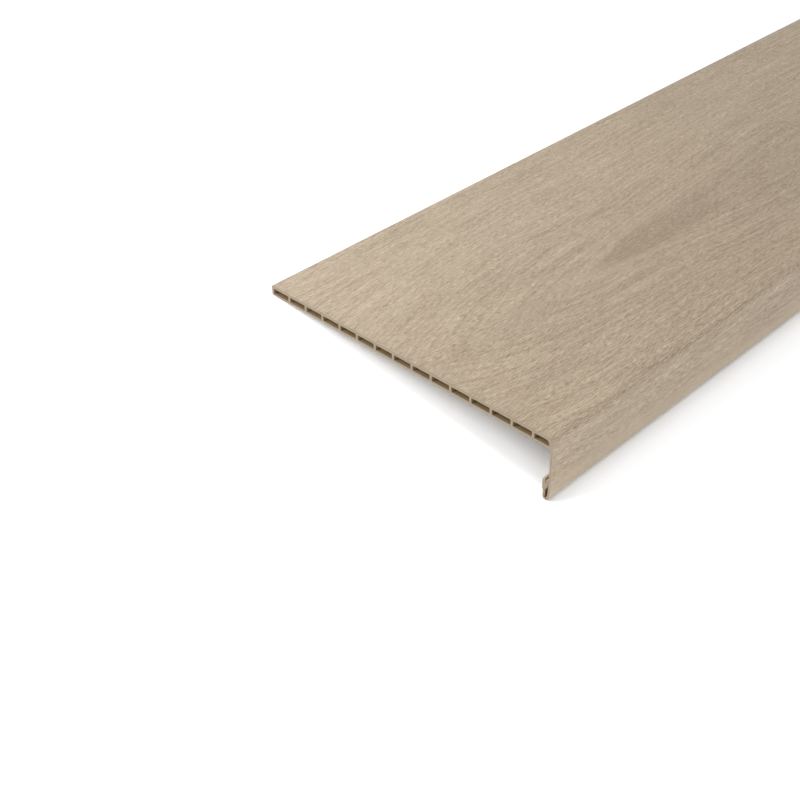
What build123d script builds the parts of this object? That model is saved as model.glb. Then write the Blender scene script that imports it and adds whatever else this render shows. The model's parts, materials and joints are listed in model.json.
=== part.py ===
from build123d import *
from math import asin, atan2, cos, degrees, hypot, sin, sqrt
import os

# Stair tread cover: one extruded length of hollow plastic with a drop nosing along its front.
# Millimetres. The section is drawn in the tread's own level frame, with X behind the nosing's front
# face and Y above the top face, and is then laid on the floor the way the tread rests unheld.

# Overall sizes
LENGTH = 1000.0
DEPTH = 300.0
NOSING_HEIGHT = 56.8

# Hollow panel
PANEL_THICKNESS = 9.0
TOP_SKIN = 2.4
BOTTOM_SKIN = 1.8
REAR_WALL = 2.6
FRONT_WALL = 3.8
CHAMBER_PITCH = 20.0
WEB = 2.2
CHAMBER_CORNER_RADIUS = 0.6
FRONT_CHAMBER_RADIUS = 3.0
REAR_EDGE_RADIUS = 0.8

# Drop nosing: its foot sweeps back into a tight return, whose free leg forks into a lip of two prongs
# with a groove between them; heights are above the nosing's bottom
NOSING_WALL = 2.0
NOSING_EDGE_RADIUS = 6.0
UNDERSIDE_RADIUS = 5.0
FOOT_SWEEP_RADIUS = 20.0
RETURN_GAP = 2.5
RETURN_INNER_RADIUS = 0.7
FORK_HEIGHT = 9.0
ELBOW_HEIGHT = 13.5
LIP_HEIGHT = 18.8
LIP_GROOVE_DEPTH = 5.0
LIP_EDGE_RADIUS = 0.5
REAR_PRONG_WALL = 2.0
REAR_PRONG_STEP = 0.8
FRONT_PRONG_WALL = 1.5
FRONT_PRONG_GAP = 0.3

# The free leg, the tight return below it and the foot's sweep, which runs into the return without a kink
leg_front = NOSING_WALL + RETURN_GAP
leg_rear = leg_front + NOSING_WALL
return_radius = RETURN_INNER_RADIUS + NOSING_WALL
return_centre = Vector(leg_rear - return_radius, return_radius - NOSING_HEIGHT)
sweep_back = FOOT_SWEEP_RADIUS - return_centre.X
sweep_drop = sqrt((FOOT_SWEEP_RADIUS - return_radius) ** 2 - sweep_back**2)
sweep_centre = Vector(FOOT_SWEEP_RADIUS, return_centre.Y + sweep_drop)
sweep_turn = degrees(atan2(sweep_drop, sweep_back))

# Levels of the lip, and its two prongs either side of the groove
fork_level = FORK_HEIGHT - NOSING_HEIGHT
elbow_level = ELBOW_HEIGHT - NOSING_HEIGHT
lip_level = LIP_HEIGHT - NOSING_HEIGHT
front_prong_front = NOSING_WALL + FRONT_PRONG_GAP
front_prong_rear = front_prong_front + FRONT_PRONG_WALL
rear_prong_rear = leg_rear + REAR_PRONG_STEP
rear_prong_front = rear_prong_rear - REAR_PRONG_WALL
groove_bottom = ((front_prong_rear + rear_prong_front) / 2, lip_level - LIP_GROOVE_DEPTH)

# At rest the floor touches the return in front and the rounded bottom edge behind
rear_edge_centre = Vector(DEPTH - REAR_EDGE_RADIUS, REAR_EDGE_RADIUS - PANEL_THICKNESS)
span = rear_edge_centre - return_centre
rest_tilt = atan2(span.Y, span.X) + asin((return_radius - REAR_EDGE_RADIUS) / hypot(span.X, span.Y))


def chamber_spans():
    """Front and rear end of each chamber, from the rear wall on; the front chamber takes what is left."""
    rear_end = DEPTH - REAR_WALL
    spans = []
    while rear_end - FRONT_WALL > 2 * FRONT_CHAMBER_RADIUS:
        front_end = max(rear_end - CHAMBER_PITCH + WEB, FRONT_WALL)
        spans.append((front_end, rear_end))
        rear_end = front_end - WEB
    return spans


# Hollow chambers of the panel; the front one follows the rounded front edge
with BuildSketch() as chambers:
    for front_end, rear_end in chamber_spans():
        with Locations(((front_end + rear_end) / 2, -TOP_SKIN)):
            Rectangle(
                rear_end - front_end,
                PANEL_THICKNESS - TOP_SKIN - BOTTOM_SKIN,
                align=(Align.CENTER, Align.MAX),
            )
    corners = chambers.vertices().sort_by_distance((FRONT_WALL, -TOP_SKIN))
    fillet(corners[1:], CHAMBER_CORNER_RADIUS)
    fillet(chambers.vertices().sort_by_distance((FRONT_WALL, -TOP_SKIN))[0], FRONT_CHAMBER_RADIUS)

# Foot's sweep and tight return, one wall thick
with BuildSketch() as foot:
    with BuildLine():
        outer_sweep = CenterArc(sweep_centre, FOOT_SWEEP_RADIUS, 180, sweep_turn)
        outer_return = CenterArc(return_centre, return_radius, 180 + sweep_turn, 180 - sweep_turn)
        inner_return = CenterArc(return_centre, RETURN_INNER_RADIUS, 180 + sweep_turn, 180 - sweep_turn)
        inner_sweep = CenterArc(sweep_centre, FOOT_SWEEP_RADIUS - NOSING_WALL, 180, sweep_turn)
        Line(outer_sweep @ 0, inner_sweep @ 0)
        Line(outer_return @ 1, inner_return @ 1)
    make_face()

# Free leg and its lip, from the leg's front foot round to its rear foot
with BuildSketch() as lip:
    with BuildLine():
        Polyline(
            (leg_front, return_centre.Y),
            (leg_front, fork_level),
            (front_prong_front, elbow_level),
            (front_prong_front, lip_level),
            (front_prong_rear, lip_level),
            groove_bottom,
            (rear_prong_front, lip_level),
            (rear_prong_rear, lip_level),
            (rear_prong_rear, fork_level),
            (leg_rear, fork_level),
            (leg_rear, return_centre.Y),
            close=True,
        )
    make_face()
    fillet(lip.vertices().group_by(Axis.Y)[-1], LIP_EDGE_RADIUS)

# Whole section
with BuildSketch() as section:
    # Panel and nosing wall
    Rectangle(DEPTH, PANEL_THICKNESS, align=(Align.MIN, Align.MAX))
    Rectangle(NOSING_WALL, -sweep_centre.Y, align=(Align.MIN, Align.MAX))
    fillet(section.vertices().sort_by_distance((0, 0))[0], NOSING_EDGE_RADIUS)
    fillet(section.vertices().sort_by_distance((NOSING_WALL, -PANEL_THICKNESS))[0], UNDERSIDE_RADIUS)
    fillet(section.vertices().group_by(Axis.X)[-1], REAR_EDGE_RADIUS)
    add(chambers.sketch, mode=Mode.SUBTRACT)
    # Foot and lip
    add(foot.sketch)
    add(lip.sketch)

# The section's extent on the level floor places the tread over the frame's origin
at_rest = section.sketch.rotate(Axis.Z, -degrees(rest_tilt)).bounding_box()
end_plane = Plane(
    origin=(0, -at_rest.center().X, -at_rest.min.Y),
    x_dir=(0, cos(rest_tilt), -sin(rest_tilt)),
    z_dir=(1, 0, 0),
)

with BuildPart() as stair_tread:
    with BuildSketch(end_plane):
        add(section.sketch)
    extrude(amount=LENGTH / 2, both=True)

os.makedirs("parts", exist_ok=True)
stair_tread.part.label = "stair_tread"
export_step(stair_tread.part, "parts/stair_tread.step")
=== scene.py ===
import json
from math import acos, atan2, ceil, cos, degrees, pi, radians, sin, sqrt, tan

import bpy
import numpy as np
from mathutils import Matrix, Vector
from mathutils.geometry import tessellate_polygon


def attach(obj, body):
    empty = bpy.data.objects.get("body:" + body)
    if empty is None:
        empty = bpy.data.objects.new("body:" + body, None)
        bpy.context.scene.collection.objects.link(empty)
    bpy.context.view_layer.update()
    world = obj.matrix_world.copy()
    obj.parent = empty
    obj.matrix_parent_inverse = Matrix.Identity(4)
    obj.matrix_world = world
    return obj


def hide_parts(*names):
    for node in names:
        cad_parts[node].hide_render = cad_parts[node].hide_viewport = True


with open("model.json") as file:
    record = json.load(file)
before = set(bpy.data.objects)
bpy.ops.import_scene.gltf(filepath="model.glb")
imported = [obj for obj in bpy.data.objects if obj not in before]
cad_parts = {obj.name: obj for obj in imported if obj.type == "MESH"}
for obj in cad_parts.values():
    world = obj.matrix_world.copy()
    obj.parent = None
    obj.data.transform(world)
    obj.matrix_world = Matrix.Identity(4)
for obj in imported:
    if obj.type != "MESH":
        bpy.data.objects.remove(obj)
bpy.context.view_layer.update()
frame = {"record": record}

MM = 0.001

# The tread's section, in millimetres; heights of the lip are above the nosing's bottom
LENGTH = 1000.0
DEPTH = 300.0
NOSING_HEIGHT = 56.8
PANEL_THICKNESS = 9.0
TOP_SKIN = 2.4
BOTTOM_SKIN = 1.8
REAR_WALL = 2.6
FRONT_WALL = 3.8
CHAMBER_PITCH = 20.0
WEB = 2.2
CHAMBER_CORNER_RADIUS = 0.6
FRONT_CHAMBER_RADIUS = 3.0
REAR_EDGE_RADIUS = 0.8
NOSING_WALL = 2.0
NOSING_EDGE_RADIUS = 6.0
UNDERSIDE_RADIUS = 5.0
FOOT_SWEEP_RADIUS = 20.0
RETURN_GAP = 2.5
RETURN_INNER_RADIUS = 0.7
FORK_HEIGHT = 9.0
ELBOW_HEIGHT = 13.5
LIP_HEIGHT = 18.8
LIP_GROOVE_DEPTH = 5.0
LIP_EDGE_RADIUS = 0.5
REAR_PRONG_WALL = 2.0
REAR_PRONG_STEP = 0.8
FRONT_PRONG_WALL = 1.5
FRONT_PRONG_GAP = 0.3

# The decor film shows as an edge on the sawn ends; vertices away from it get INSIDE_DEPTH
FILM_THICKNESS = 0.5
FILM_EDGE_SHARE = 0.7
INSIDE_DEPTH = 5.0

# Mesh fineness, in millimetres and degrees; a count is rounded up unless it is over by the slack
GRAIN_STEP_ACROSS = 0.7
GRAIN_STEP_ALONG = 6.25
ARC_STEP = 9.0
REAR_EDGE_ARC_STEP = 15.0
CHAMBER_ARC_STEP = 30.0
SHARP_ANGLE = 32.0
COUNT_SLACK = 0.001

# Bake layout: each kind of surface has its rows of the unit square, from a bottom to a top
DECOR_ROWS = (0.362, 0.998)
END_ROWS = ((0.286, 0.356), (0.210, 0.280))
BARE_ROWS = (0.104, 0.204)
CHAMBER_ROWS = (0.002, 0.098)
BAKE_MARGIN = 0.002

# Noise layers are given by the size of their blots along and across in millimetres, a seed, and the
# detail and roughness where they differ from plain noise. The seed moves the layer by these steps.
SEED_STEPS = (7.31, 3.77)

# Oak figure, in millimetres: along is from the near end, and across is behind the front face,
# measured over the surface. A fade gives where it starts and ends, and its values there.
BROAD_SWAY = (240, 80, 1)
BROAD_SWAY_WIDTH = 14.0
FINE_SWAY = (60, 20, 2)
FINE_SWAY_WIDTH = 3.0
FIGURE_AXIS = 120.0
FIGURE_BLUNTNESS = 15.6
FIGURE_SLOPE = 0.367
FIGURE_REACH = 250.0
FIGURE_WIDTH = 110.0
ARCH = (300, 7.0, 18, 1.0)
ARCH_CONTRAST = (0.36, 0.60)
ARCH_WIDTH = 75.0
BAND = (80, 4.4, 19, 2.0, 0.55)
BAND_ON_AXIS = 0.25
HEART_RADIUS = -35.0
HEART_EDGE = 4.0
HEART_FADE = (290, 420, 1.0, 0.35)
RIM_OFFSET = 2.2
RIM_WIDTH = 2.0
STREAK = (15, 0.95, 5, 2.0, 0.6)
SHORT_STREAK = (4.5, 0.70, 6, 2.0, 0.65)
PORE = (8.0, 0.70, 7, 1.0)
PORE_CONTRAST = (0.58, 0.70)
DASH_SPACING = 2.2
DASH_WANDER = (14, 3.0, 9, 1.0)
DASH_WANDER_TURNS = 2.0
DASH_GROUP = (9, 2.6, 10, 1.0)
DASH_GROUP_CONTRAST = (0.34, 0.64)
MOTTLE = (120, 35, 8, 2.0)

# Flames behind the heart: middle and half-length along, middle and half-width across, and strength
FLAMES = (
    ((232, 34), (193.0, 3.2), 1.0),
    ((281, 15), (184.5, 3.0), 1.0),
    ((243, 38), (201.5, 2.6), -0.6),
)

# What each layer gives to the print's tone, to the embossing and to the fine bump
TONE_SHARES = {
    "band": 0.60, "arch": 0.07, "heart": -0.11, "rim": 0.06, "flame": -0.15,
    "streak": 0.66, "dash": 0.24, "short": 1.10, "pore": -0.22,
}
EMBOSS_SHARES = {"streak": 0.35, "dash": 0.12, "band": 0.30}
EMBOSS_MIDDLE = 0.445
EMBOSS_DEPTH = 0.09
EMBOSS_FADE = 4 * GRAIN_STEP_ACROSS
BUMP_SHARES = {"short": 0.6, "dash": 0.2, "pore": -0.8}
BUMP_DEPTH = 0.06

# The print fades towards the nosing's bottom. The ground carries painted light: paler low on the
# front as painted floor bounce, paler over the front face, and darker forward of the top's middle
# and paler at its rear
PRINT_FADE = (-46, -26, 0.35, 1.0)
GROUND_TONE = 0.43
MOTTLE_SHARE = 0.14
PAINTED_LIGHT_FADES = ((-50, -28, 0.20, 0.0), (-8, 4, 0.08, 0.0), (90, 250, -0.12, 0.04))

# Bare plastic: lines from the die along the length; girth runs round the section
DIE_LINES = (260, 1.1, 11, 2.0)
CLOUD = (60, 30, 12, 2.0)
GIRTH_LEAN = 2.3
DRAWN_SHARES = {"lines": 0.6, "cloud": 0.5}
DRAWN_GROUND = -0.05
DIE_LINE_DEPTH = 0.05

# Sawn ends: leaning marks of the saw, and specks
SAW_MARKS = (0.45, 9, 21, 2.0)
SAW_LEAN = 0.35
SPECKS = (0.8, 0.8, 22, 2.0)
SAWN_SHARES = {"marks": 0.7, "specks": 0.5}
SAWN_GROUND = -0.1
SAW_MARK_DEPTH = 0.05

# Colours, and roughness at the low and high end of what drives it
OAK_DARK = (0.225, 0.175, 0.120, 1.0)
OAK_LIGHT = (0.487, 0.400, 0.299, 1.0)
OAK_ROUGHNESS = (0.65, 0.50)
OAK_SPECULAR = 0.22
# The lip is the same plastic as the bare walls and sawn ends, painted paler: painted light in its
# groove under the nosing
LIP_PAINTED_LIT_DARK = (0.325, 0.258, 0.178, 1.0)
LIP_PAINTED_LIT_LIGHT = (0.448, 0.362, 0.260, 1.0)
BARE_DARK = (0.160, 0.110, 0.055, 1.0)
BARE_LIGHT = (0.233, 0.168, 0.092, 1.0)
DRAWN_ROUGHNESS = (0.42, 0.62)
SAWN_DARK = (0.161, 0.123, 0.083, 1.0)
SAWN_LIGHT = (0.243, 0.191, 0.133, 1.0)
SAWN_ROUGHNESS = (0.60, 0.85)
FILM_EDGE = (0.150, 0.112, 0.072, 1.0)
WHITE = (1.0, 1.0, 1.0, 1.0)

# Floor, in metres from the frame's origin
FLOOR_HALF = 6.0
FLOOR_COLOUR = (0.965, 0.980, 1.0, 1.0)
FLOOR_GLOW_FADE = (0.9, 2.2, 0.065, 0.25)

# Light, in metres and degrees; the room's fades are over a direction's height and rearward part
CEILING_GLOW = 0.40
WALL_FADE = (0.05, 0.35, 1.0, 0.0)
REARWARD = Vector((0.4, 0.9, 0.0))
REARWARD_FADE = (-0.8, 0.4, 2.7, 1.0)
SUN_FROM = Vector((-0.15, 0.21, 1.0))
SUN_ANGLE = 24.0
SUN_POWER = 1.34
KEY_PLACE = Vector((-1.18, 0.56, 0.76))
KEY_TARGET = Vector((-0.45, 0.05, 0.0))
KEY_SIZE = 0.6
KEY_POWER = 12.8
FILL_PLACE = Vector((-1.30, -1.00, 0.25))
FILL_TARGET = Vector((-0.45, -0.12, 0.03))
FILL_SIZE = 0.8
FILL_POWER = 5.0

# Camera in the tread's own level frame, in millimetres, degrees and picture pixels; clip in metres
CAMERA_PLACE = Vector((-578.274, -422.480, 565.122))
CAMERA_PITCH = 36.7114
CAMERA_YAW = 45.2246
CAMERA_ROLL = 0.6281
CAMERA_FOCAL_PX = 1293.63
PICTURE_WIDTH_PX = 800.0
SENSOR_WIDTH = 36.0
CAMERA_CLIP_END = 100.0

# How the tread lies: its underside's mount gives the tilt and the place of its own level frame,
# which runs along the length from the near end, behind the nosing's front face and above the top
underside = next(mount for mount in frame["record"]["mounts"] if mount["name"] == "underside")
ALONG = Vector((1, 0, 0))
ABOVE = -Vector(underside["axis"]).normalized()
BEHIND = ABOVE.cross(ALONG)
underside_middle = (NOSING_WALL + UNDERSIDE_RADIUS + DEPTH - REAR_EDGE_RADIUS) / 2
ORIGIN = (
    Vector(underside["pos_m"])
    - ALONG * LENGTH / 2 * MM
    - BEHIND * underside_middle * MM
    + ABOVE * PANEL_THICKNESS * MM
)
LEVEL = Matrix((ALONG, BEHIND, ABOVE)).transposed()


def placed(points):
    """Points of the level frame, millimetres, as points of the row's frame, metres."""
    return np.asarray(points) * MM @ np.array(LEVEL).T + np.array(ORIGIN)


def arc(centre, radius, start, end, step=ARC_STEP):
    """Points along an arc of the section between two angles in degrees."""
    count = max(1, ceil(abs(end - start) / step - COUNT_SLACK)) + 1
    angles = np.radians(np.linspace(start, end, count))
    return np.array(centre) + radius * np.stack([np.cos(angles), np.sin(angles)], axis=1)


def divided(start, end, step):
    """Points on a straight run, no further apart than step, without the run's own ends."""
    start, end = np.array(start, float), np.array(end, float)
    count = max(1, ceil(np.linalg.norm(end - start) / step - COUNT_SLACK))
    return start + (end - start) * (np.arange(1, count) / count)[:, None]


def rounded_corner(before, corner, after, radius):
    """Points along the arc that rounds one corner of an outline."""
    back, onward = before - corner, after - corner
    back, onward = back / np.linalg.norm(back), onward / np.linalg.norm(onward)
    half_angle = acos(back @ onward) / 2
    middle = (back + onward) / np.linalg.norm(back + onward)
    centre = corner + middle * radius / sin(half_angle)
    spoke = corner + back * radius / tan(half_angle) - centre
    turn = 180 - degrees(2 * half_angle)
    if back[0] * onward[1] > back[1] * onward[0]:
        turn = -turn
    start = degrees(atan2(spoke[1], spoke[0]))
    return arc(centre, radius, start, start + turn)


def distances(points):
    """Distance of each point along a run, from the run's first point."""
    steps = np.linalg.norm(np.diff(points, axis=0), axis=1)
    return np.concatenate([[0.0], np.cumsum(steps)])


# Section: the free leg, the tight return below it and the sweep of the nosing's foot
leg_front = NOSING_WALL + RETURN_GAP
leg_rear = leg_front + NOSING_WALL
return_radius = RETURN_INNER_RADIUS + NOSING_WALL
return_centre = (leg_rear - return_radius, return_radius - NOSING_HEIGHT)
sweep_back = FOOT_SWEEP_RADIUS - return_centre[0]
sweep_drop = sqrt((FOOT_SWEEP_RADIUS - return_radius) ** 2 - sweep_back ** 2)
sweep_centre = (FOOT_SWEEP_RADIUS, return_centre[1] + sweep_drop)
sweep_end = 180 + degrees(atan2(sweep_drop, sweep_back))

# Lip: from the rear prong's foot over both prongs and the groove between them to the leg's front
fork_level = FORK_HEIGHT - NOSING_HEIGHT
lip_level = LIP_HEIGHT - NOSING_HEIGHT
front_prong_front = NOSING_WALL + FRONT_PRONG_GAP
front_prong_rear = front_prong_front + FRONT_PRONG_WALL
rear_prong_rear = leg_rear + REAR_PRONG_STEP
rear_prong_front = rear_prong_rear - REAR_PRONG_WALL
lip_corners = np.array([
    (rear_prong_rear, fork_level),
    (rear_prong_rear, lip_level),
    (rear_prong_front, lip_level),
    ((front_prong_rear + rear_prong_front) / 2, lip_level - LIP_GROOVE_DEPTH),
    (front_prong_rear, lip_level),
    (front_prong_front, lip_level),
    (front_prong_front, ELBOW_HEIGHT - NOSING_HEIGHT),
    (leg_front, fork_level),
])
lip_run = [lip_corners[:1]]
for before, corner, after in zip(lip_corners, lip_corners[1:], lip_corners[2:]):
    is_top = corner[1] == lip_level
    lip_run.append(rounded_corner(before, corner, after, LIP_EDGE_RADIUS) if is_top else [corner])
lip_run.append(lip_corners[-1:])
lip_run = np.concatenate(lip_run)

# Decorated run: rear top edge, top, front edge, front, foot, return and the leg's rear
nose_centre = (NOSING_EDGE_RADIUS, -NOSING_EDGE_RADIUS)
rear_top_centre = (DEPTH - REAR_EDGE_RADIUS, -REAR_EDGE_RADIUS)
leg_rear_top = (leg_rear, fork_level)
nose_step = degrees(GRAIN_STEP_ACROSS / NOSING_EDGE_RADIUS)
sweep_step = degrees(GRAIN_STEP_ACROSS / FOOT_SWEEP_RADIUS)
return_step = degrees(GRAIN_STEP_ACROSS / return_radius)
decor_run = np.concatenate([
    arc(rear_top_centre, REAR_EDGE_RADIUS, 0, 90, REAR_EDGE_ARC_STEP),
    divided((rear_top_centre[0], 0), (nose_centre[0], 0), GRAIN_STEP_ACROSS),
    arc(nose_centre, NOSING_EDGE_RADIUS, 90, 180, nose_step),
    divided((0, nose_centre[1]), (0, sweep_centre[1]), GRAIN_STEP_ACROSS),
    arc(sweep_centre, FOOT_SWEEP_RADIUS, 180, sweep_end, sweep_step),
    arc(return_centre, return_radius, sweep_end, 360, return_step)[1:],
    divided((leg_rear, return_centre[1]), leg_rear_top, GRAIN_STEP_ACROSS),
    [leg_rear_top],
])

# Bare run: lip, inside of the return and the foot, underside and rear bottom edge
underside_centre = (NOSING_WALL + UNDERSIDE_RADIUS, -PANEL_THICKNESS - UNDERSIDE_RADIUS)
rear_bottom_centre = (DEPTH - REAR_EDGE_RADIUS, REAR_EDGE_RADIUS - PANEL_THICKNESS)
bare_run = np.concatenate([
    lip_run,
    arc(return_centre, RETURN_INNER_RADIUS, 360, sweep_end),
    arc(sweep_centre, FOOT_SWEEP_RADIUS - NOSING_WALL, sweep_end, 180, sweep_step)[1:],
    arc(underside_centre, UNDERSIDE_RADIUS, 180, 90),
    arc(rear_bottom_centre, REAR_EDGE_RADIUS, -90, 0, REAR_EDGE_ARC_STEP),
])


def chamber_outline(front_end, rear_end, front_top_radius):
    """One chamber's outline, clockwise from its front bottom corner."""
    low, high, radius = BOTTOM_SKIN - PANEL_THICKNESS, -TOP_SKIN, CHAMBER_CORNER_RADIUS
    step = CHAMBER_ARC_STEP
    front_top = (front_end + front_top_radius, high - front_top_radius)
    return np.concatenate([
        arc((front_end + radius, low + radius), radius, 270, 180, step),
        arc(front_top, front_top_radius, 180, 90, step * radius / front_top_radius),
        arc((rear_end - radius, high - radius), radius, 90, 0, step),
        arc((rear_end - radius, low + radius), radius, 0, -90, step),
    ])


# Chambers from the rear wall on; the front one takes what is left and follows the front edge
chambers = []
chamber_rear = DEPTH - REAR_WALL
while chamber_rear - FRONT_WALL > 2 * FRONT_CHAMBER_RADIUS:
    chamber_front = max(chamber_rear - CHAMBER_PITCH + WEB, FRONT_WALL)
    is_front = chamber_front == FRONT_WALL
    front_top_radius = FRONT_CHAMBER_RADIUS if is_front else CHAMBER_CORNER_RADIUS
    chambers.append(chamber_outline(chamber_front, chamber_rear, front_top_radius))
    chamber_rear = chamber_front - WEB

# Outward directions and developed distance along the decorated run, zero at the front face's plane
run_direction = np.gradient(decor_run, axis=0)
run_direction /= np.linalg.norm(run_direction, axis=1)[:, None]
run_outward = np.stack([run_direction[:, 1], -run_direction[:, 0]], axis=1)
run_distance = distances(decor_run)
nose_start = int(np.argmin(np.linalg.norm(decor_run - (nose_centre[0], 0), axis=1)))
across = NOSING_EDGE_RADIUS + run_distance[nose_start] - run_distance

# Mesh of the whole tread: vertices in the level frame, faces with their material and bake layout
DECOR, LIP, BARE, SAWN = range(4)
stations = np.linspace(0, LENGTH, round(LENGTH / GRAIN_STEP_ALONG) + 1)
ends = (0, len(stations) - 1)
n_run, n_bare = len(decor_run), len(bare_run)
inset_run = decor_run - run_outward * FILM_THICKNESS

vertices, faces, face_material, face_uv = [], [], [], []


def bake_u(share):
    """A share of the length or depth as a place across the bake layout."""
    return BAKE_MARGIN + (1 - 2 * BAKE_MARGIN) * share


def bake_v(rows, share):
    """A share of a surface's girth or height as a place up the bake layout."""
    low, high = rows
    return low + (high - low) * share


def add_vertices(x, section_points):
    """Adds one row of section points at one place along the length and gives back their numbers."""
    first = len(vertices)
    vertices.extend((x, a, h) for a, h in section_points)
    return list(range(first, len(vertices)))


def add_face(corners, uvs, material):
    """Adds one face with its places in the bake layout and its material's number."""
    faces.append(corners)
    face_uv.append(uvs)
    face_material.append(material)


def add_quad(near, far, j, k, us, vs, material):
    """Adds the face between points j and k of two rows of vertices."""
    add_face((near[j], near[k], far[k], far[j]),
             ((us[0], vs[0]), (us[0], vs[1]), (us[1], vs[1]), (us[1], vs[0])), material)


def add_end_face(corners, side):
    """Adds a face of the near end, side 0, or the far end, side 1, turned outwards."""
    points = np.array([vertices[corner][1:] for corner in corners])
    following = np.roll(points, -1, axis=0)
    area = np.sum(points[:, 0] * following[:, 1] - points[:, 1] * following[:, 0])
    if (area > 0) != (side == 1):
        corners, points = corners[::-1], points[::-1]
    uvs = [(bake_u(a / DEPTH), bake_v(END_ROWS[side], 1 + h / NOSING_HEIGHT)) for a, h in points]
    add_face(corners, uvs, SAWN)


# Decorated skin
decor_rows = [add_vertices(x, decor_run) for x in stations]
decor_u = [bake_u(x / LENGTH) for x in stations]
decor_v = bake_v(DECOR_ROWS, run_distance / run_distance[-1])
for i in range(len(stations) - 1):
    for j in range(n_run - 1):
        add_quad(decor_rows[i], decor_rows[i + 1], j, j + 1,
                 decor_u[i:i + 2], decor_v[j:j + 2], DECOR)

# Bare walls, and the two faces that join them to the edges of the decorated skin
whole_u = (bake_u(0), bake_u(1))
bare_ends = [add_vertices(stations[end], bare_run) for end in ends]
bare_distance = distances(np.concatenate([decor_run[-1:], bare_run, decor_run[:1]]))
bare_v = bake_v(BARE_ROWS, bare_distance / bare_distance[-1])
# The lip's faces take the paler lip plastic, whose paleness is painted light
for j in range(n_bare - 1):
    add_quad(*bare_ends, j, j + 1, whole_u, bare_v[j + 1:j + 3],
             LIP if j < len(lip_run) - 1 else BARE)
add_face([bare_ends[0][0], bare_ends[1][0]] + [row[-1] for row in decor_rows[::-1]],
         [(u, bare_v[1]) for u in whole_u] + [(u, bare_v[0]) for u in decor_u[::-1]], LIP)
add_face([bare_ends[1][-1], bare_ends[0][-1]] + [row[0] for row in decor_rows],
         [(u, bare_v[-2]) for u in whole_u[::-1]] + [(u, bare_v[-1]) for u in decor_u], BARE)

# Chamber walls
chamber_ends = []
for number, outline in enumerate(chambers):
    rings = [add_vertices(stations[end], outline) for end in ends]
    chamber_ends.append(rings)
    count = len(outline)
    ring_v = bake_v(CHAMBER_ROWS, (number + np.arange(count + 1) / count) / len(chambers))
    for j in range(count):
        add_quad(*rings, j, (j + 1) % count, whole_u, ring_v[j:j + 2], BARE)

# Sawn ends: the decor film's edge as a thin band, and the plastic with its chambers inside it
film_insides = []
for side, end in enumerate(ends):
    rim, inset = decor_rows[end], add_vertices(stations[end], inset_run)
    film_insides.append(inset)
    for j in range(n_run - 1):
        add_end_face([rim[j], rim[j + 1], inset[j + 1], inset[j]], side)
    outer = inset + [rim[-1]] + bare_ends[side] + [rim[0]]
    loops = [outer] + [rings[side] for rings in chamber_ends]
    flat = [[Vector((*vertices[vertex][1:], 0)) for vertex in loop] for loop in loops]
    numbers = [vertex for loop in loops for vertex in loop]
    for triangle in tessellate_polygon(flat):
        add_end_face([numbers[corner] for corner in triangle], side)

mesh = bpy.data.meshes.new("stair_tread_decor")
mesh.from_pydata(placed(vertices).tolist(), [], faces)
mesh.polygons.foreach_set("material_index", face_material)

# Attributes: place on the developed decor, outward direction of the embossing, depth in the film
plan = np.array(vertices)
outward = np.zeros_like(plan)
film_depth = np.full(len(vertices), INSIDE_DEPTH)
edge_distance = np.minimum(run_distance, run_distance[-1] - run_distance)
emboss_share = np.clip(edge_distance / EMBOSS_FADE, 0, 1)
for x, row in zip(stations, decor_rows):
    plan[row] = np.stack([np.full(n_run, x), across, np.zeros(n_run)], axis=1)
    outward[row, 1:] = run_outward * emboss_share[:, None]
    film_depth[row] = np.where(across > NOSING_EDGE_RADIUS, 0.0, FILM_THICKNESS)
for inset in film_insides:
    film_depth[inset] = FILM_THICKNESS
outward = outward @ np.array(LEVEL).T
mesh.attributes.new("plan", "FLOAT_VECTOR", "POINT").data.foreach_set("vector", plan.ravel())
mesh.attributes.new("outward", "FLOAT_VECTOR", "POINT").data.foreach_set("vector", outward.ravel())
mesh.attributes.new("film_depth", "FLOAT", "POINT").data.foreach_set("value", film_depth)
layout = mesh.uv_layers.new(name="OFBake")
layout.data.foreach_set("uv", np.array([uv for uvs in face_uv for uv in uvs]).ravel())
mesh.polygons.foreach_set("use_smooth", [True] * len(faces))
mesh.update()
mesh.set_sharp_from_angle(angle=radians(SHARP_ANGLE))

tread = bpy.data.objects.new("stair_tread_decor", mesh)
bpy.context.scene.collection.objects.link(tread)


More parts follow.
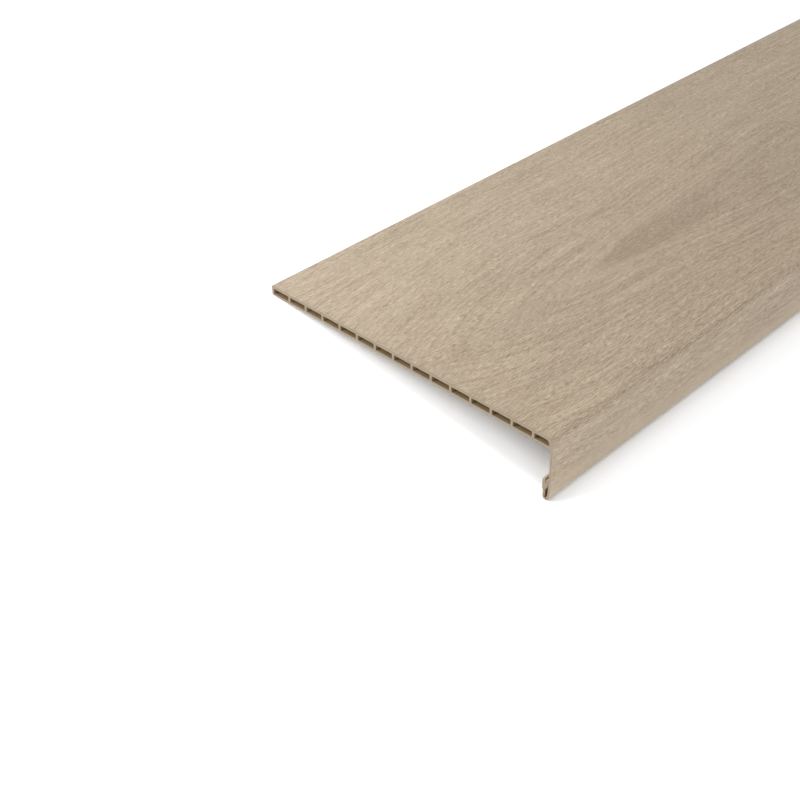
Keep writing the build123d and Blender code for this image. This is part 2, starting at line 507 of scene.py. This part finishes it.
class Graph:
    """Adds nodes to a tree and hands back their output sockets."""

    # Numbers of the Mix node's colour sockets, whose names it uses more than once
    MIX_SHARE, MIX_DARK, MIX_LIGHT, MIX_RESULT = 0, 6, 7, 2

    def __init__(self, tree):
        self.tree = tree

    def node(self, kind, inputs=None, **settings):
        """A new node with its settings, and with its inputs fed."""
        node = self.tree.nodes.new(kind)
        for name, value in settings.items():
            setattr(node, name, value)
        for name, value in (inputs or {}).items():
            self.feed(node.inputs[name], value)
        return node

    def feed(self, socket, value):
        """Gives an input another node's output, or a fixed value."""
        if isinstance(value, bpy.types.NodeSocket):
            self.tree.links.new(value, socket)
        else:
            socket.default_value = value

    def math(self, operation, *values):
        node = self.node("ShaderNodeMath", operation=operation)
        for socket, value in zip(node.inputs, values):
            self.feed(socket, value)
        return node.outputs[0]

    def product(self, one, other):
        return self.math("MULTIPLY", one, other)

    def add(self, *values):
        total = values[0]
        for value in values[1:]:
            total = self.math("ADD", total, value)
        return total

    def scaled(self, value, factor, offset=0.0):
        return self.math("MULTIPLY_ADD", value, factor, offset)

    def centred(self, value, width=1.0):
        """A value from 0 to 1 as a swing of the given width about zero."""
        return self.scaled(value, width, -width / 2)

    def between(self, share, low, high):
        """A share from 0 to 1 as a value between two others."""
        return self.scaled(share, high - low, low)

    def mixed(self, layers, shares, ground=0.0):
        """The layers that shares names, each times its share, on top of a ground."""
        total = ground
        for name, share in shares.items():
            total = self.scaled(layers[name], share, total)
        return total

    def noise(self, along, across, along_size, across_size, seed, detail=0.0, roughness=0.5):
        """Smooth noise from 0 to 1 whose blots have the given size in millimetres."""
        along_step, across_step = SEED_STEPS
        place = self.node("ShaderNodeCombineXYZ", {
            "X": self.scaled(along, 1 / along_size, seed * along_step),
            "Y": self.scaled(across, 1 / across_size, seed * across_step),
        })
        node = self.node("ShaderNodeTexNoise", {
            "Vector": place.outputs[0], "Scale": 1.0, "Detail": detail, "Roughness": roughness,
        }, noise_dimensions="2D")
        return node.outputs[0]

    def blob(self, value, middle, half_width):
        """A soft bump from 0 to 1 about a middle."""
        share = self.scaled(value, 1 / half_width, -middle / half_width)
        return self.math("EXPONENT", self.product(self.product(share, share), -1.0))

    def ramp(self, value, low, high, to_low=0.0, to_high=1.0):
        """A smooth change from one value to another while the input goes from low to high."""
        node = self.node("ShaderNodeMapRange", interpolation_type="SMOOTHSTEP")
        for socket, number in zip(node.inputs, (value, low, high, to_low, to_high)):
            self.feed(socket, number)
        return node.outputs[0]

    def colour(self, share, dark, light):
        """A colour between two others."""
        node = self.node("ShaderNodeMix", {
            self.MIX_SHARE: share, self.MIX_DARK: dark, self.MIX_LIGHT: light,
        }, data_type="RGBA")
        return node.outputs[self.MIX_RESULT]


def oak_figure(graph, plan_socket):
    """Oak over the developed decor: tone from dark to light, embossing and fine relief."""
    split = graph.node("ShaderNodeSeparateXYZ", {0: plan_socket}).outputs
    along, across_flat = split[0], split[1]

    # Growth rings: straight lines that arch round the axis and open towards the far end
    sway = graph.add(
        graph.centred(graph.noise(along, across_flat, *BROAD_SWAY), BROAD_SWAY_WIDTH),
        graph.centred(graph.noise(along, across_flat, *FINE_SWAY), FINE_SWAY_WIDTH))
    swayed = graph.add(across_flat, sway)
    off_axis = graph.math("SUBTRACT", swayed, FIGURE_AXIS)
    blunt = graph.math(
        "SQRT", graph.math("MULTIPLY_ADD", off_axis, off_axis, FIGURE_BLUNTNESS ** 2))
    opening = FIGURE_REACH * FIGURE_SLOPE
    reach = graph.math("EXPONENT", graph.scaled(along, -1 / FIGURE_REACH))
    reach = graph.scaled(reach, -opening, opening)
    near_axis = graph.blob(off_axis, 0.0, FIGURE_WIDTH)
    radius = graph.math("SUBTRACT", blunt, graph.product(reach, near_axis))
    away = graph.math("DIVIDE", graph.product(off_axis, off_axis), graph.product(blunt, blunt))
    arch = graph.centred(graph.ramp(graph.noise(along, radius, *ARCH), *ARCH_CONTRAST))
    arch = graph.product(arch, graph.blob(off_axis, 0.0, ARCH_WIDTH))
    band = graph.centred(graph.noise(along, radius, *BAND))
    band = graph.product(band, graph.between(away, BAND_ON_AXIS, 1.0))

    # Dark heart inside the innermost arch with a light rim round it, and short flames behind it
    inside = graph.ramp(radius, HEART_RADIUS - HEART_EDGE, HEART_RADIUS, 1.0, 0.0)
    heart = graph.product(inside, graph.ramp(along, *HEART_FADE))
    rim = graph.blob(radius, HEART_RADIUS + RIM_OFFSET, RIM_WIDTH)
    flame = graph.add(*(
        graph.scaled(
            graph.product(graph.blob(along, *length), graph.blob(swayed, *width)), strength)
        for length, width, strength in FLAMES))

    # Streaks follow the rings; dashes, short streaks and pores follow the swaying length
    streak = graph.product(graph.centred(graph.noise(along, radius, *STREAK)), away)
    wander = graph.noise(along, swayed, *DASH_WANDER)
    turns = graph.add(
        graph.scaled(swayed, 2 * pi / DASH_SPACING),
        graph.scaled(wander, 2 * pi * DASH_WANDER_TURNS))
    group = graph.ramp(graph.noise(along, swayed, *DASH_GROUP), *DASH_GROUP_CONTRAST)
    dash = graph.product(graph.math("SINE", turns), group)
    short = graph.centred(graph.noise(along, swayed, *SHORT_STREAK))
    pore = graph.ramp(graph.noise(along, swayed, *PORE), *PORE_CONTRAST)

    layers = {
        "band": band, "arch": arch, "heart": heart, "rim": rim, "flame": flame,
        "streak": streak, "dash": dash, "short": short, "pore": pore,
    }
    drawn = graph.product(graph.mixed(layers, TONE_SHARES), graph.ramp(across_flat, *PRINT_FADE))
    mottle = graph.noise(along, across_flat, *MOTTLE)
    # Mottle is the print's own; the fades added to it are painted light, paler on the front and
    # lighter to the rear
    ground = graph.add(
        graph.scaled(mottle, MOTTLE_SHARE, GROUND_TONE),
        *(graph.ramp(across_flat, *fade) for fade in PAINTED_LIGHT_FADES))
    return {
        "tone": graph.add(drawn, ground),
        "emboss": graph.mixed(layers, EMBOSS_SHARES, EMBOSS_MIDDLE),
        "fine": graph.mixed(layers, BUMP_SHARES),
    }


def embossed(piece):
    """Presses the oak figure into the decorated skin, inwards only, and keeps the result."""
    tree = bpy.data.node_groups.new("emboss", "GeometryNodeTree")
    for way in ("INPUT", "OUTPUT"):
        tree.interface.new_socket("Geometry", in_out=way, socket_type="NodeSocketGeometry")
    graph = Graph(tree)
    source = graph.node("NodeGroupInput").outputs[0]
    plan_socket, outward_socket = (
        graph.node("GeometryNodeInputNamedAttribute", {"Name": name},
                   data_type="FLOAT_VECTOR").outputs["Attribute"]
        for name in ("plan", "outward"))
    figure = oak_figure(graph, plan_socket)
    height = graph.scaled(graph.math("SUBTRACT", figure["emboss"], 1.0), EMBOSS_DEPTH * MM)
    offset = graph.node(
        "ShaderNodeVectorMath", {0: outward_socket, "Scale": height}, operation="SCALE")
    moved = graph.node("GeometryNodeSetPosition", {"Geometry": source, "Offset": offset.outputs[0]})
    graph.feed(graph.node("NodeGroupOutput").inputs[0], moved.outputs[0])
    modifier = piece.modifiers.new("emboss", "NODES")
    modifier.node_group = tree
    evaluated = piece.evaluated_get(bpy.context.evaluated_depsgraph_get())
    result = bpy.data.meshes.new_from_object(evaluated)
    piece.modifiers.clear()
    bpy.data.node_groups.remove(tree)
    flat_mesh = piece.data
    piece.data = result
    bpy.data.meshes.remove(flat_mesh)
    result.name = piece.name


embossed(tread)


def new_material(name):
    """A material with its graph and its shader."""
    material = bpy.data.materials.new(name)
    material.use_nodes = True
    return material, Graph(material.node_tree), material.node_tree.nodes["Principled BSDF"]


def frame_place(graph):
    """Sockets of the place in the row's frame, millimetres: along, behind and above."""
    place = graph.node("ShaderNodeTexCoord").outputs["Object"]
    place = graph.node("ShaderNodeVectorMath", {0: place, "Scale": 1 / MM}, operation="SCALE")
    return graph.node("ShaderNodeSeparateXYZ", {0: place.outputs[0]}).outputs


def dress(graph, shader, colour, roughness, relief, depth):
    """Gives a shader its colour, its roughness and a bump of the given depth in millimetres."""
    bump = graph.node("ShaderNodeBump", {"Height": relief, "Strength": 1.0, "Distance": depth * MM})
    graph.feed(shader.inputs["Base Color"], colour)
    graph.feed(shader.inputs["Roughness"], roughness)
    graph.feed(shader.inputs["Normal"], bump.outputs[0])


def oak_decor():
    """The printed film on the decorated skin."""
    material, graph, shader = new_material("oak_decor_film")
    plan_socket = graph.node("ShaderNodeAttribute", attribute_name="plan").outputs["Vector"]
    figure = oak_figure(graph, plan_socket)
    colour = graph.colour(figure["tone"], OAK_DARK, OAK_LIGHT)
    roughness = graph.between(figure["tone"], *OAK_ROUGHNESS)
    dress(graph, shader, colour, roughness, figure["fine"], BUMP_DEPTH)
    shader.inputs["Specular IOR Level"].default_value = OAK_SPECULAR
    return material


def drawn_plastic(name, dark, light):
    """Bare extruded plastic, with the die's fine lines along the length."""
    material, graph, shader = new_material(name)
    along, behind, above = frame_place(graph)
    girth = graph.add(behind, graph.scaled(above, GIRTH_LEAN))
    lines = graph.noise(along, girth, *DIE_LINES)
    cloud = graph.noise(along, girth, *CLOUD)
    tone = graph.mixed({"lines": lines, "cloud": cloud}, DRAWN_SHARES, DRAWN_GROUND)
    roughness = graph.between(lines, *DRAWN_ROUGHNESS)
    dress(graph, shader, graph.colour(tone, dark, light), roughness, lines, DIE_LINE_DEPTH)
    return material


def sawn_end():
    """The sawn ends, with the darker edge of the film."""
    material, graph, shader = new_material("sawn_end_plastic")
    _, behind, above = frame_place(graph)
    leaning = graph.add(behind, graph.scaled(above, SAW_LEAN))
    marks = graph.noise(leaning, above, *SAW_MARKS)
    specks = graph.noise(behind, above, *SPECKS)
    tone = graph.mixed({"marks": marks, "specks": specks}, SAWN_SHARES, SAWN_GROUND)
    plain = graph.colour(tone, SAWN_DARK, SAWN_LIGHT)
    depth = graph.node("ShaderNodeAttribute", attribute_name="film_depth").outputs["Fac"]
    inside = graph.ramp(depth, FILM_EDGE_SHARE * FILM_THICKNESS, FILM_THICKNESS)
    roughness = graph.between(specks, *SAWN_ROUGHNESS)
    relief = graph.add(marks, specks)
    dress(graph, shader, graph.colour(inside, FILM_EDGE, plain), roughness, relief, SAW_MARK_DEPTH)
    return material


# In the order of the materials' numbers
for material in (
    oak_decor(),
    # Lip plastic painted paler, as painted light in the groove under the nosing
    drawn_plastic("lip_plastic_painted_lit", LIP_PAINTED_LIT_DARK, LIP_PAINTED_LIT_LIGHT),
    drawn_plastic("bare_plastic", BARE_DARK, BARE_LIGHT),
    sawn_end(),
):
    tread.data.materials.append(material)

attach(tread, "root")
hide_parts("stair_tread")

# Plain pale floor: a light table that glows a little, and more further out to hide the horizon
floor_corners = [(-1, -1), (1, -1), (1, 1), (-1, 1)]
floor_mesh = bpy.data.meshes.new("floor")
floor_mesh.from_pydata(
    [(x * FLOOR_HALF, y * FLOOR_HALF, 0) for x, y in floor_corners], [], [(0, 1, 2, 3)])
floor = bpy.data.objects.new("floor", floor_mesh)
bpy.context.scene.collection.objects.link(floor)
floor_material, floor_graph, floor_shader = new_material("pale_floor")
floor_shader.inputs["Base Color"].default_value = FLOOR_COLOUR
floor_shader.inputs["Roughness"].default_value = 1.0
floor_shader.inputs["Specular IOR Level"].default_value = 0.0
floor_shader.inputs["Emission Color"].default_value = WHITE
floor_place = floor_graph.node("ShaderNodeTexCoord").outputs["Object"]
floor_distance = floor_graph.node(
    "ShaderNodeVectorMath", {0: floor_place}, operation="LENGTH").outputs["Value"]
floor_glow = floor_graph.ramp(floor_distance, *FLOOR_GLOW_FADE)
floor_graph.feed(floor_shader.inputs["Emission Strength"], floor_glow)
floor_mesh.materials.append(floor_material)

# Soft studio light: a white room whose walls are brighter than its ceiling, most in front, a soft
# sun from high behind, a lamp beyond the rear near corner and a low one in front of the near end
world = bpy.data.worlds.new("studio")
world.use_nodes = True
world_graph = Graph(world.node_tree)
direction = world_graph.node("ShaderNodeTexCoord").outputs["Generated"]
direction_height = world_graph.node("ShaderNodeSeparateXYZ", {0: direction}).outputs[2]
rearward = world_graph.node(
    "ShaderNodeVectorMath", {0: direction, 1: REARWARD}, operation="DOT_PRODUCT").outputs["Value"]
wall_glow = world_graph.product(
    world_graph.ramp(direction_height, *WALL_FADE), world_graph.ramp(rearward, *REARWARD_FADE))
background = world.node_tree.nodes["Background"]
background.inputs["Color"].default_value = WHITE
world_graph.feed(background.inputs["Strength"], world_graph.add(wall_glow, CEILING_GLOW))
bpy.context.scene.world = world


def add_lamp(name, kind, power, place, aim):
    """A lamp of the given kind at a place, turned so that it shines along aim."""
    light = bpy.data.lights.new(name, kind)
    light.energy = power
    lamp = bpy.data.objects.new(name, light)
    lamp.location = place
    lamp.rotation_euler = aim.to_track_quat("-Z", "Y").to_euler()
    lamp.visible_camera = False
    bpy.context.scene.collection.objects.link(lamp)
    return light


sun = add_lamp("sun", "SUN", SUN_POWER, SUN_FROM, -SUN_FROM)
sun.angle = radians(SUN_ANGLE)
key = add_lamp("key", "AREA", KEY_POWER, KEY_PLACE, KEY_TARGET - KEY_PLACE)
key.size = KEY_SIZE
fill = add_lamp("fill", "AREA", FILL_POWER, FILL_PLACE, FILL_TARGET - FILL_PLACE)
fill.size = FILL_SIZE

# Camera at the photograph's viewing angle
pitch, yaw, roll = radians(CAMERA_PITCH), radians(CAMERA_YAW), radians(CAMERA_ROLL)
forward = Vector((sin(yaw) * cos(pitch), cos(yaw) * cos(pitch), -sin(pitch)))
level_right = Vector((cos(yaw), -sin(yaw), 0))
level_down = forward.cross(level_right)
right = level_right * cos(roll) + level_down * sin(roll)
down = level_down * cos(roll) - level_right * sin(roll)
camera = bpy.data.cameras.new("camera")
camera.sensor_width = SENSOR_WIDTH
camera.lens = CAMERA_FOCAL_PX / PICTURE_WIDTH_PX * SENSOR_WIDTH
camera.clip_end = CAMERA_CLIP_END
camera_object = bpy.data.objects.new("camera", camera)
camera_turn = LEVEL @ Matrix((right, -down, -forward)).transposed()
camera_place = LEVEL @ (CAMERA_PLACE * MM) + ORIGIN
camera_object.matrix_world = Matrix.Translation(camera_place) @ camera_turn.to_4x4()
bpy.context.scene.collection.objects.link(camera_object)
bpy.context.scene.camera = camera_object
bpy.context.scene.view_settings.view_transform = "Standard"
